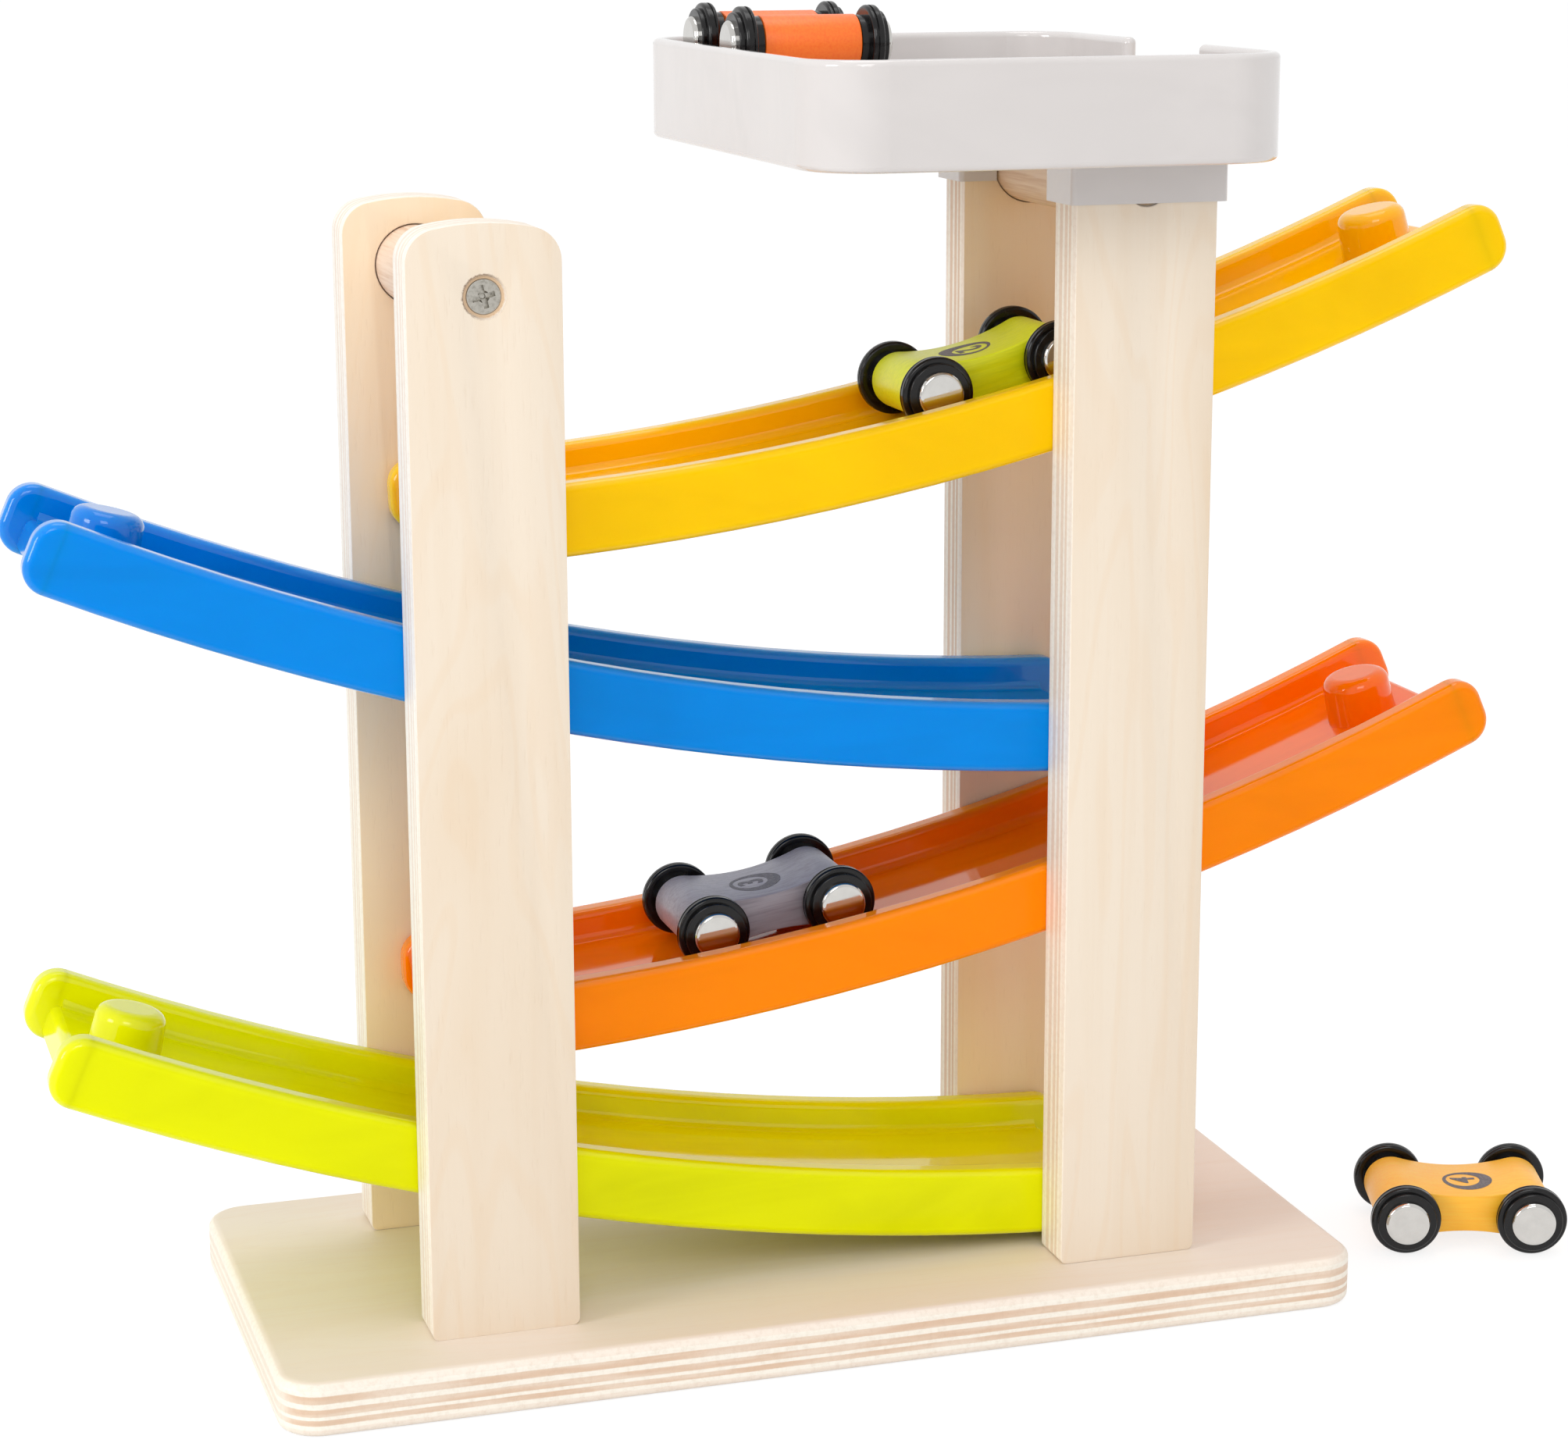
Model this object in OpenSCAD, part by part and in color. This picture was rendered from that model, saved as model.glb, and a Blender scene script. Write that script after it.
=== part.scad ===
// Click clack track: a plywood tower whose curved tracks hand small cars down from side to side
// Millimetres, +Z up, origin in the middle of the base board's underside, +Y towards the back

/* [Base board] */
// Length of the base board
base_len = 244; // [225:1:300]
// Depth of the base board from front to back
base_depth = 110; // [90:1:150]
// Thickness of the plywood of the base and of the posts
ply_thick = 12; // [9:0.5:15]
// Corner radius of the base board in plan
base_corner_r = 9; // [4:0.5:14]
// Round on the base board's edges
base_edge_r = 2; // [0.5:0.1:3]

/* [Posts] */
// Width of a post
post_w = 32; // [26:0.5:40]
// Distance between the centre lines of the left and the right posts
post_spacing = 142.6; // [120:0.1:180]
// Clear gap between the front and the rear posts
post_gap = 55.8; // [54:0.1:70]
// Height of the two left posts above the base board
left_post_h = 235.3; // [225:0.1:260]
// Height of the two right posts above the base board
right_post_h = 255.5; // [250:0.1:275]
// Corner radius at the top of a post
post_corner_r = 7; // [3:0.5:9]
// Radius of the shallow crown over the top of a post
post_crown_r = 52; // [30:1:120]
// Corner radius at the foot of a post
post_foot_r = 1.5; // [0.5:0.1:3]

/* [Spacer dowels] */
// Radius of a spacer dowel
dowel_r = 8.6; // [6:0.1:11]
// Radial slack of a dowel in its recess
dowel_slack = 0.3; // [0.1:0.05:0.5]
// Depth of a dowel's recess in a post's inner face
dowel_recess = 2; // [1:0.1:3]
// Distance of the left dowel's axis below the top of its posts
left_dowel_drop = 14.7; // [12:0.1:18]
// Distance of the right dowel's axis below the top of its posts
right_dowel_drop = 16.6; // [12:0.1:18]

/* [Screws] */
// Radius of a screw's head
screw_head_r = 3.5; // [3:0.1:4]
// Height of a screw's countersunk head
screw_head_h = 2.2; // [1.5:0.1:3]
// Radius of a screw's shank
screw_r = 1.8; // [1.5:0.05:2]
// Length of a screw over all
screw_len = 28; // [22:0.5:32]
// Radius of the hole that a screw's head is sunk in
sink_r = 4.4; // [3.8:0.1:5]
// Depth of a screw's head below the plywood's face
sink_depth = 0.8; // [0.3:0.1:1.5]
// Distance between the two screws in the foot of a post
foot_screw_pitch = 16; // [12:0.5:20]

/* [Tracks] */
// Radius of a track's lower edge
track_r = 636.5; // [560:0.5:760]
// Height of a track's side walls
track_wall_h = 15.5; // [13:0.1:20]
// Thickness of a track's side walls
track_wall_t = 6.4; // [4:0.1:8]
// Depth of the running floor below the top of the walls
track_floor_depth = 7.2; // [5:0.1:9]
// Thickness of the running floor and of its end aprons
track_floor_t = 2.6; // [1.5:0.1:3.5]
// Corner radius of a wall's ends, seen from the side
wall_corner_r = 5.7; // [4:0.1:7]
// Round on the walls' long edges
wall_edge_r = 1.9; // [0.8:0.1:2.4]
// Fillet between the running floor and the walls
floor_fillet_r = 2.4; // [1:0.1:3]
// Radius of the rounded nose where the running floor turns down at its ends
floor_nose_r = 2; // [1.5:0.1:4]
// Distance of the running floor's ends from the walls' ends
floor_setback = 4.8; // [3:0.1:10]
// Angle at which a track's low end stops
low_angle = 1.55; // [1.2:0.05:1.7]
// Angle at which a track's raised end stops
high_angle = 24.25; // [20:0.05:26]
// Distance of the arc's centre beyond the centre line of the posts at the low end
arc_offset = 24.95; // [22.5:0.05:28]
// Step in height from one track to the next
track_pitch = 53.8; // [50:0.1:56]
// Clear height of the lowest track over the base board
track_lift = 1.5; // [0.5:0.1:6]
// Side clearance between a track and the posts
track_side_gap = 0.15; // [0.1:0.05:0.4]
// Radius of the bosses that plug a track into the posts
boss_r = 4; // [2.5:0.1:5]
// Length of a boss in the post
boss_len = 5.5; // [3:0.1:8]
// Clearance round a boss and past its tip
boss_slack = 0.1; // [0.05:0.05:0.3]

/* [Track peg] */
// Radius of the end peg at its foot
peg_r = 8; // [5:0.1:10]
// Radius of the end peg near its top
peg_top_r = 7.7; // [4.5:0.1:9]
// Height of the end peg above the running floor
peg_h = 9.9; // [5:0.1:12]
// Round on the top of the end peg
peg_round_r = 2.8; // [1:0.1:4]
// Distance of the peg's axis from the walls' raised end
peg_setback = 18.3; // [17:0.1:30]
// Angle by which the peg stands more upright than the floor's normal
peg_lean = 8; // [0:0.5:9]

/* [Parking deck] */
// Length of the deck from left to right
deck_len = 104; // [90:1:130]
// Width of the deck from front to back
deck_w = 134; // [110:1:160]
// Overhang of the deck past the right posts' outer edge
deck_overhang = 6.4; // [4:0.1:20]
// Corner radius of the deck in plan
deck_corner_r = 15; // [8:0.5:20]
// Thickness of the deck's walls
deck_wall_t = 3.2; // [2:0.1:4]
// Round on the top edges of the deck's walls
deck_edge_r = 1.3; // [0.5:0.1:1.5]
// Thickness of the deck's floor
deck_floor_t = 3; // [2:0.1:4]
// Height of the rim above the deck's floor
deck_rim_h = 8.5; // [6:0.1:14]
// Depth of the skirt below the deck's floor
deck_skirt_h = 10.6; // [6:0.1:16]
// Width of the gate in the deck's right wall
gate_w = 40; // [38:0.5:50]
// Fillet between the deck's floor and its walls
deck_fillet_r = 1.6; // [0.5:0.1:3]

/* [Deck sockets] */
// Wall thickness of the sockets that hold the posts
socket_wall = 1.65; // [1.2:0.05:3]
// Clearance of a post in its socket
socket_slack = 0.1; // [0.05:0.05:0.3]
// Depth of the sockets below the deck's skirt
socket_drop = 9.6; // [4:0.1:14]
// Corner radius of the sockets in plan
socket_corner_r = 1.2; // [0.5:0.1:3]

/* [Car body] */
// Distance between a car's axles
wheel_base = 29.3; // [24:0.1:36]
// Radius of a car body's rounded ends
body_end_r = 6.2; // [5:0.1:6.6]
// Half the height of a car body's waist
body_waist = 4.25; // [3:0.05:5]
// Width of a car body
body_w = 22; // [16:0.5:26]

/* [Car wheels] */
// Radius of a wheel
wheel_r = 8.13; // [7:0.01:9]
// Radius of a wheel's inner hub
hub_r = 6; // [4:0.1:6.5]
// Length of a wheel's inner hub
hub_len = 1.9; // [1:0.1:3]
// Thickness of a wheel's main disc
tread_t = 2.8; // [2:0.1:4]
// Radius of the step on a wheel's outer side
step_r = 6.9; // [5.4:0.1:7]
// Thickness of the step on a wheel's outer side
step_t = 1.2; // [0.6:0.1:2]
// Round on the edges of the wheel's main disc
tread_edge_r = 0.7; // [0.2:0.1:1]
// Width of the groove round a wheel's tread
tread_groove_w = 0.5; // [0.2:0.1:0.8]
// Depth of the groove round a wheel's tread
tread_groove_d = 0.4; // [0.1:0.1:0.6]
// Radius of the polished cap on a wheel
cap_r = 5.15; // [3:0.05:5.3]
// Height of the polished cap
cap_h = 1.4; // [1:0.1:2]
// Round on the polished cap's edge
cap_edge_r = 0.9; // [0.3:0.1:0.9]
// Radius of an axle
axle_r = 1.2; // [0.8:0.05:1.6]
// Radial running clearance of an axle in a car body
axle_slack = 0.05; // [0.02:0.01:0.1]
// Side play between a wheel's hub and the car body
side_play = 0.2; // [0.1:0.05:0.5]

/* [Places of the cars] */
// Distance of the orange car on the deck from the deck's left side
deck_car_x = 25.6; // [24:0.1:70]
// Distance of the orange car's middle from the deck's back side
deck_car_inset = 32; // [28:0.5:106]
// Angle of the green car up the yellow track
upper_car_angle = 13.45; // [5:0.05:18]
// Angle of the grey car up the orange track
lower_car_angle = 8.65; // [5:0.05:18]
// Distance of the amber car's middle beyond the base board's right side
floor_car_x = 42.7; // [38:0.1:70]
// Distance of the amber car's middle in front of the base board's centre line
floor_car_y = 19.9; // [-30:0.1:60]
// Heading of the amber car, turned towards the front
floor_car_heading = 18.3; // [0:0.1:60]
// Height of a wheel's tread above what it runs on
roll_gap = 0.2; // [0.05:0.05:0.4]

/* [Hidden] */

// Facets of short curves and of the tracks' long arcs
$fn = 64;
arc_fn = 720;

// Overrun of every cut past the face it starts from, and the lap of fused walls
over = 0.5;
lap = 0.4;

// How far a fillet's arc runs past the faces that it joins, so that it meets them at a small angle
fillet_relief = 0.06;

// Posts
post_x = post_spacing / 2;
post_inner_y = post_gap / 2;
post_outer_y = post_inner_y + ply_thick;
left_top_z = ply_thick + left_post_h;
right_top_z = ply_thick + right_post_h;
left_dowel_z = left_top_z - left_dowel_drop;
right_dowel_z = right_top_z - right_dowel_drop;

// Screws: a Phillips cross and the clearances round the shank
screw_hole_slack = 0.25;
pilot_slack = 0.05;
cross_w = 1.05;
cross_l = 4.8;
cross_depth = 1.2;
cross_turn = 15;
socket_r = 1.35;
screw_tip_h = 4;
screw_tip_r = 0.4;
screw_room = 1;

// Tracks, seen from the side about the arc's centre
arc_x = post_x + arc_offset;
track_top_r = track_r - track_wall_h;
track_floor_r = track_top_r + track_floor_depth;
track_mid_r = track_r - track_wall_h / 2;
track_half_w = post_inner_y - track_side_gap;
channel_half_w = track_half_w - track_wall_t;
corner_turn = asin(wall_corner_r / track_mid_r);
nose_turn = asin((floor_setback + floor_nose_r) / track_mid_r);
peg_angle = high_angle - asin(peg_setback / track_floor_r);
near_boss_angle = asin(arc_offset / track_mid_r);
far_boss_angle = asin((arc_offset + post_spacing) / track_mid_r);
apron_clear = wall_edge_r;
peg_sink = track_floor_t / 2;

// Parking deck
deck_x1 = post_x + post_w / 2 + deck_overhang;
deck_x0 = deck_x1 - deck_len;
deck_floor_z = right_top_z + deck_floor_t;
deck_rim_z = deck_floor_z + deck_rim_h;
deck_skirt_z = right_top_z - deck_skirt_h;
socket_z = deck_skirt_z - socket_drop;

// Cars: half widths along the axle, counted from the car's middle
hub_y = body_w / 2 + side_play;
tread_y = hub_y + hub_len;
step_y = tread_y + tread_t;
cap_y = step_y + step_t;
axle_half = cap_y + cap_h / 2;
axle_height = wheel_r + roll_gap;
waist_narrowing = body_end_r - body_waist;
waist_r = (pow(wheel_base / 2, 2) + pow(body_waist, 2) - pow(body_end_r, 2)) / (2 * waist_narrowing);
waist_share = waist_r / (waist_r + body_end_r);
step_edge_share = 0.3;
groove_share = 0.3;

// Flat outline of a rectangle with rounded corners, centred
module rounded_rect(w, h, r) {
  square([w - 2 * r, h], center = true);
  square([w, h - 2 * r], center = true);
  for (x = [-1, 1], y = [-1, 1])
    translate([x * (w / 2 - r), y * (h / 2 - r)]) circle(r);
}

// Section of a slab's rim: square at x = 0, rounded at x = w
module rim_section(w, t, r) {
  translate([0, -t / 2]) square([w - r, t]);
  translate([0, r - t / 2]) square([w, t - 2 * r]);
  for (y = [-1, 1]) translate([w - r, y * (t / 2 - r)]) circle(r);
}

// Board lying flat with rounded corners and rounded edges, centred on its mid-plane
module rounded_board(l, d, t, corner_r, edge_r) {
  in_l = l - 2 * corner_r;
  in_d = d - 2 * corner_r;
  cube([in_l, in_d, t], center = true);
  for (s = [0, 180]) rotate([0, 0, s]) {
    translate([in_l / 2, in_d / 2, 0]) rotate([90, 0, 0])
      linear_extrude(in_d) rim_section(corner_r, t, edge_r);
    rotate([0, 0, 90]) translate([in_d / 2, in_l / 2, 0]) rotate([90, 0, 0])
      linear_extrude(in_l) rim_section(corner_r, t, edge_r);
    translate([in_l / 2, in_d / 2, 0])
      rotate_extrude(angle = 90) rim_section(corner_r, t, edge_r);
    translate([-in_l / 2, in_d / 2, 0]) rotate([0, 0, 90])
      rotate_extrude(angle = 90) rim_section(corner_r, t, edge_r);
  }
}

// A screw along -Z with its head's face at z = 0
module screw() {
  difference() {
    union() {
      translate([0, 0, -screw_head_h]) cylinder(h = screw_head_h, r1 = screw_r, r2 = screw_head_r);
      translate([0, 0, screw_tip_h - screw_len])
        cylinder(h = screw_len - screw_tip_h - screw_head_h, r = screw_r);
      translate([0, 0, -screw_len]) cylinder(h = screw_tip_h, r1 = screw_tip_r, r2 = screw_r);
    }
    for (a = [0, 90]) rotate([0, 0, a + cross_turn])
      translate([0, 0, -cross_depth / 2 + over / 2])
        cube([cross_l, cross_w, cross_depth + over], center = true);
    translate([0, 0, -cross_depth - over / 2])
      cylinder(h = cross_depth + over, r1 = cross_w / 2, r2 = socket_r);
  }
}

// The sunk hole that a screw passes through, with its mouth at z = 0 and its shank along -Z
module screw_hole(depth) {
  translate([0, 0, -sink_depth]) cylinder(h = sink_depth + over, r = sink_r);
  translate([0, 0, -sink_depth - screw_head_h])
    cylinder(h = screw_head_h, r1 = screw_r + screw_hole_slack, r2 = screw_head_r + screw_hole_slack);
  translate([0, 0, -depth - over]) cylinder(h = depth + over, r = screw_r + screw_hole_slack);
}

// Places of the eight foot screws, heads down
module at_foot_screws() {
  for (x = [-post_x, post_x], dx = [-1, 1], y = [-1, 1])
    translate([x + dx * foot_screw_pitch / 2, y * (post_inner_y + ply_thick / 2), 0])
      rotate([180, 0, 0]) children();
}

module base_board() {
  color("burlywood") difference() {
    translate([0, 0, ply_thick / 2])
      rounded_board(base_len, base_depth, ply_thick, base_corner_r, base_edge_r);
    at_foot_screws() screw_hole(ply_thick);
  }
}

// Outline of a post standing on z = 0, with a square top or with round shoulders under a shallow crown
module post_outline(h, crowned) {
  if (crowned) {
    corner_x = post_w / 2 - post_corner_r;
    corner_rise = sqrt(pow(post_crown_r - post_corner_r, 2) - pow(corner_x, 2));
    corner_z = h - post_crown_r + corner_rise;
    blend_x = corner_x * post_crown_r / (post_crown_r - post_corner_r);
    translate([0, corner_z / 2]) square([post_w, corner_z - 2 * post_foot_r], center = true);
    translate([0, corner_z / 2]) square([post_w - 2 * post_foot_r, corner_z], center = true);
    for (s = [-1, 1]) {
      translate([s * (post_w / 2 - post_foot_r), post_foot_r]) circle(post_foot_r);
      translate([s * (post_w / 2 - post_foot_r), corner_z - post_foot_r])
        square(2 * post_foot_r, center = true);
      translate([s * corner_x, corner_z]) circle(post_corner_r);
    }
    intersection() {
      translate([0, h - post_crown_r]) circle(post_crown_r, $fn = arc_fn);
      translate([-blend_x, corner_z - post_corner_r]) square([2 * blend_x, h]);
    }
  } else {
    translate([0, h / 2]) rounded_rect(post_w, h, post_foot_r);
  }
}

// Heights at which the tracks' bosses enter a post, counted over the post's foot
function boss_height(level, angle) =
  track_lift + level * track_pitch + track_r - track_mid_r * cos(angle);

// A post with its inner face at y = 0, its outer face at y = -ply_thick and its foot on the base board
module post(h, crowned, dowel_drop, low_levels, high_levels) {
  color("wheat") difference() {
    rotate([90, 0, 0]) linear_extrude(ply_thick) post_outline(h, crowned);
    for (level = low_levels)
      translate([0, over, boss_height(level, near_boss_angle)]) rotate([90, 0, 0])
        cylinder(h = boss_len + boss_slack + over, r = boss_r + boss_slack);
    for (level = high_levels)
      translate([0, over, boss_height(level, far_boss_angle)]) rotate([90, 0, 0])
        cylinder(h = boss_len + boss_slack + over, r = boss_r + boss_slack);
    translate([0, over, h - dowel_drop]) rotate([90, 0, 0])
      cylinder(h = dowel_recess + over, r = dowel_r + dowel_slack);
    translate([0, -ply_thick, h - dowel_drop]) rotate([90, 0, 0]) screw_hole(ply_thick);
    for (dx = [-1, 1])
      translate([dx * foot_screw_pitch / 2, -ply_thick / 2, -over])
        cylinder(h = screw_len + sink_depth - ply_thick + screw_room + over, r = screw_r + pilot_slack);
  }
}

module left_post() {
  post(left_post_h, true, left_dowel_drop, [1, 3], [0, 2]);
}

module right_post() {
  post(right_post_h, false, right_dowel_drop, [0, 2], [1, 3]);
}

module in_front(x) {
  translate([x, -post_inner_y, ply_thick]) children();
}

module at_rear(x) {
  translate([x, post_inner_y, ply_thick]) rotate([0, 0, 180]) children();
}

// A dowel lying across the gap between a front and a rear post
module spacer_dowel(x, z) {
  dowel_half = post_inner_y + dowel_recess;
  color("bisque") translate([x, 0, z]) rotate([90, 0, 0]) difference() {
    cylinder(h = 2 * dowel_half, r = dowel_r, center = true);
    for (s = [0, 180]) rotate([s, 0, 0])
      translate([0, 0, dowel_half - screw_len - screw_room])
        cylinder(h = screw_len + screw_room + over, r = screw_r + pilot_slack);
  }
}

module dowel_screws() {
  color("silver") for (p = [[-post_x, left_dowel_z], [post_x, right_dowel_z]], s = [0, 180])
    translate([p[0], 0, p[1]]) rotate([0, 0, s])
      translate([0, -post_outer_y + sink_depth, 0]) rotate([90, 0, 0]) screw();
}

module base_screws() {
  color("silver") at_foot_screws() translate([0, 0, -sink_depth]) screw();
}

// Sweep a section about the arc's centre, between two angles from straight down;
// the section's x is the distance from the centre and its y runs across the track
module along_arc(a0, a1) {
  rotate([90, 0, 0]) rotate([0, 0, a0 - 90])
    rotate_extrude(angle = a1 - a0, $fn = arc_fn) children();
}

// Carry children out to a radius and an angle of the arc, with +X up the track and -Z outwards
module at_arc(r, a) {
  rotate([0, -a, 0]) translate([0, 0, -r]) children();
}

// One rounded end of a side wall, pointing along +X from the wall's square cut
module wall_end() {
  for (s = [0, 1])
    translate([0, 0, s * (track_wall_h - 2 * wall_corner_r)]) rotate([90, 90 - s * 90, 0])
      rotate_extrude(angle = 90) rim_section(wall_corner_r, track_wall_t, wall_edge_r);
  linear_extrude(track_wall_h - 2 * wall_corner_r) rim_section(wall_corner_r, track_wall_t, wall_edge_r);
}

module side_wall() {
  a0 = low_angle + corner_turn;
  a1 = high_angle - corner_turn;
  along_arc(a0, a1) translate([track_mid_r, 0]) rounded_rect(track_wall_h, track_wall_t, wall_edge_r);
  at_arc(track_r - wall_corner_r, a1) wall_end();
  at_arc(track_r - wall_corner_r, a0) rotate([0, 0, 180]) wall_end();
}

// Section of the running floor with a fillet up each wall
module floor_section() {
  translate([track_floor_r, -channel_half_w - lap]) square([track_floor_t, 2 * (channel_half_w + lap)]);
  for (s = [-1, 1]) scale([1, s]) difference() {
    translate([track_floor_r - floor_fillet_r, channel_half_w - floor_fillet_r])
      square([floor_fillet_r + lap, floor_fillet_r + lap]);
    translate([track_floor_r - floor_fillet_r, channel_half_w - floor_fillet_r])
      circle(floor_fillet_r + fillet_relief);
  }
}

// The end of the running floor: a rounded nose that turns down into an apron, pointing along +X
module floor_nose() {
  apron_h = track_r - apron_clear - track_floor_r;
  rotate([90, 0, 0]) linear_extrude(2 * (channel_half_w + lap), center = true) {
    translate([0, -floor_nose_r]) circle(floor_nose_r);
    translate([0, -apron_h]) square([floor_nose_r, apron_h - floor_nose_r]);
    translate([-floor_nose_r, -apron_h]) square([floor_nose_r + over / 2, apron_h]);
  }
}

// The peg, whose leaning foot ends inside the running floor
module peg() {
  rotate([0, peg_lean, 0]) rotate_extrude() {
    polygon([
      [0, -peg_sink], [peg_r, -peg_sink], [peg_r, 0], [peg_top_r, peg_h - peg_round_r],
      [peg_top_r - peg_round_r, peg_h], [0, peg_h],
    ]);
    translate([peg_top_r - peg_round_r, peg_h - peg_round_r]) circle(peg_round_r);
  }
}

// A track about its arc's centre, with its low end below the centre and its raised end towards +X
module track() {
  for (s = [-1, 1]) {
    translate([0, s * (track_half_w - track_wall_t / 2), 0]) side_wall();
    for (a = [near_boss_angle, far_boss_angle]) at_arc(track_mid_r, a)
      translate([0, s * (track_half_w + boss_len / 2 - lap), 0]) rotate([90, 0, 0])
        cylinder(h = boss_len + 2 * lap, r = boss_r, center = true);
  }
  along_arc(low_angle + nose_turn, high_angle - nose_turn) floor_section();
  at_arc(track_floor_r, high_angle - nose_turn) floor_nose();
  at_arc(track_floor_r, low_angle + nose_turn) rotate([0, 0, 180]) floor_nose();
  at_arc(track_floor_r, peg_angle) peg();
}

// Carry children to a track's arc centre; odd levels have their low end at the left
module at_level(level) {
  rotate([0, 0, level % 2 == 1 ? 0 : 180])
    translate([-arc_x, 0, ply_thick + track_lift + level * track_pitch + track_r]) children();
}

// Section of the deck's wall, with its outer face at x = 0 and the floor's lap inwards
module deck_wall_section() {
  wall_h = deck_rim_z - deck_skirt_z;
  translate([-deck_wall_t / 2, deck_skirt_z + wall_h / 2]) rounded_rect(deck_wall_t, wall_h, deck_edge_r);
  difference() {
    translate([-deck_wall_t - deck_fillet_r, deck_floor_z - lap])
      square([deck_fillet_r + lap, deck_fillet_r + lap]);
    translate([-deck_wall_t - deck_fillet_r, deck_floor_z + deck_fillet_r])
      circle(deck_fillet_r + fillet_relief);
  }
}

module deck_walls() {
  in_l = deck_len - 2 * deck_corner_r;
  in_w = deck_w - 2 * deck_corner_r;
  for (s = [0, 180]) rotate([0, 0, s]) {
    translate([deck_len / 2, in_w / 2, 0]) rotate([90, 0, 0]) linear_extrude(in_w) deck_wall_section();
    rotate([0, 0, 90]) translate([deck_w / 2, in_l / 2, 0]) rotate([90, 0, 0])
      linear_extrude(in_l) deck_wall_section();
    translate([in_l / 2, in_w / 2, 0])
      rotate_extrude(angle = 90) translate([deck_corner_r, 0]) deck_wall_section();
    translate([-in_l / 2, in_w / 2, 0]) rotate([0, 0, 90])
      rotate_extrude(angle = 90) translate([deck_corner_r, 0]) deck_wall_section();
  }
}

// The gate's rounded cheek, standing on the floor at one end of the cut wall
module gate_cheek() {
  cheek_h = deck_rim_h + deck_edge_r + lap;
  translate([0, 0, deck_rim_z - cheek_h / 2]) rotate_extrude(angle = 180) intersection() {
    rounded_rect(deck_wall_t, cheek_h, deck_edge_r);
    translate([0, -cheek_h / 2]) square([deck_wall_t, cheek_h]);
  }
}

// A square socket round the top of a post, with a slot that clears the spacer dowel
module socket(side) {
  out_w = post_w + 2 * (socket_slack + socket_wall);
  out_t = ply_thick + 2 * (socket_slack + socket_wall);
  difference() {
    translate([0, side * (post_inner_y + ply_thick / 2), socket_z])
      linear_extrude(right_top_z - socket_z + lap) rounded_rect(out_w, out_t, socket_corner_r);
    translate([0, side * (post_inner_y + ply_thick / 2), socket_z - over])
      linear_extrude(right_top_z - socket_z + over)
        square([post_w + 2 * socket_slack, ply_thick + 2 * socket_slack], center = true);
    translate([0, side * post_inner_y, right_dowel_z]) rotate([90, 0, 0])
      cylinder(h = 2 * (socket_wall + over), r = dowel_r + dowel_slack, center = true);
    translate([0, side * post_inner_y, right_dowel_z - right_dowel_drop / 2])
      cube([2 * (dowel_r + dowel_slack), 2 * (socket_wall + over), right_dowel_drop], center = true);
  }
}

module parking_deck() {
  gate_cut = gate_w + deck_wall_t;
  color("gainsboro") {
    translate([(deck_x0 + deck_x1) / 2, 0, 0]) {
      difference() {
        deck_walls();
        translate([deck_len / 2 - deck_wall_t - deck_fillet_r - over, -gate_cut / 2, deck_floor_z])
          cube([deck_wall_t + deck_fillet_r + 2 * over, gate_cut, deck_rim_h + over]);
      }
      translate([0, 0, right_top_z]) linear_extrude(deck_floor_t)
        rounded_rect(deck_len - deck_wall_t, deck_w - deck_wall_t, deck_corner_r - deck_wall_t / 2);
      for (s = [0, 1]) translate([(deck_len - deck_wall_t) / 2, (s - 1 / 2) * gate_cut, 0])
        rotate([0, 0, s * 180]) gate_cheek();
    }
    for (side = [-1, 1]) translate([post_x, 0, 0]) socket(side);
  }
}

// Side outline of a car body: two round ends drawn together by two hollow arcs
module body_outline() {
  mid_x = wheel_base / 2 * waist_share;
  difference() {
    union() {
      square([2 * mid_x, 2 * body_end_r], center = true);
      for (s = [-1, 1]) translate([s * wheel_base / 2, 0]) circle(body_end_r);
    }
    for (s = [-1, 1]) translate([0, s * (body_waist + waist_r)]) circle(waist_r, $fn = arc_fn);
  }
}

module car_body(paint) {
  color(paint) difference() {
    rotate([90, 0, 0]) linear_extrude(body_w, center = true) body_outline();
    for (s = [-1, 1]) translate([s * wheel_base / 2, 0, 0]) rotate([90, 0, 0])
      cylinder(h = body_w + 2 * over, r = axle_r + axle_slack, center = true);
  }
}

// Section of one wheel through its axis: inner hub, main disc and outer step
module wheel_section() {
  difference() {
    union() {
      translate([0, hub_y]) square([hub_r, hub_len + over]);
      translate([0, tread_y + tread_t / 2]) rounded_rect(2 * wheel_r, tread_t, tread_edge_r);
      translate([0, tread_y + (tread_t + step_t) / 2])
        rounded_rect(2 * step_r, tread_t + step_t, step_t * step_edge_share);
    }
    translate([-2 * wheel_r, hub_y - over]) square([2 * wheel_r + axle_r + pilot_slack / 2, 2 * wheel_r]);
    translate([wheel_r - tread_groove_d, tread_y + tread_t * groove_share])
      square([tread_groove_d + over, tread_groove_w]);
  }
}

// Section of one polished cap with the pocket for the axle's end
module cap_section() {
  difference() {
    translate([0, cap_y]) union() {
      square([cap_r - cap_edge_r, cap_h]);
      square([cap_r, cap_h - cap_edge_r]);
      translate([cap_r - cap_edge_r, cap_h - cap_edge_r]) circle(cap_edge_r);
    }
    translate([-over, cap_y - over])
      square([over + axle_r + pilot_slack / 2, over + axle_half - cap_y + pilot_slack]);
    translate([0, cap_y - cap_r]) square([2 * cap_r, cap_r]);
  }
}

// Children at one axle of a car, end = 1 at the front and -1 at the rear, with the axle along Z
module at_axle(end) {
  translate([end * wheel_base / 2, 0, 0]) rotate([90, 0, 0]) children();
}

module car_axle(end) {
  color("silver") at_axle(end) cylinder(h = 2 * axle_half, r = axle_r, center = true);
}

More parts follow.
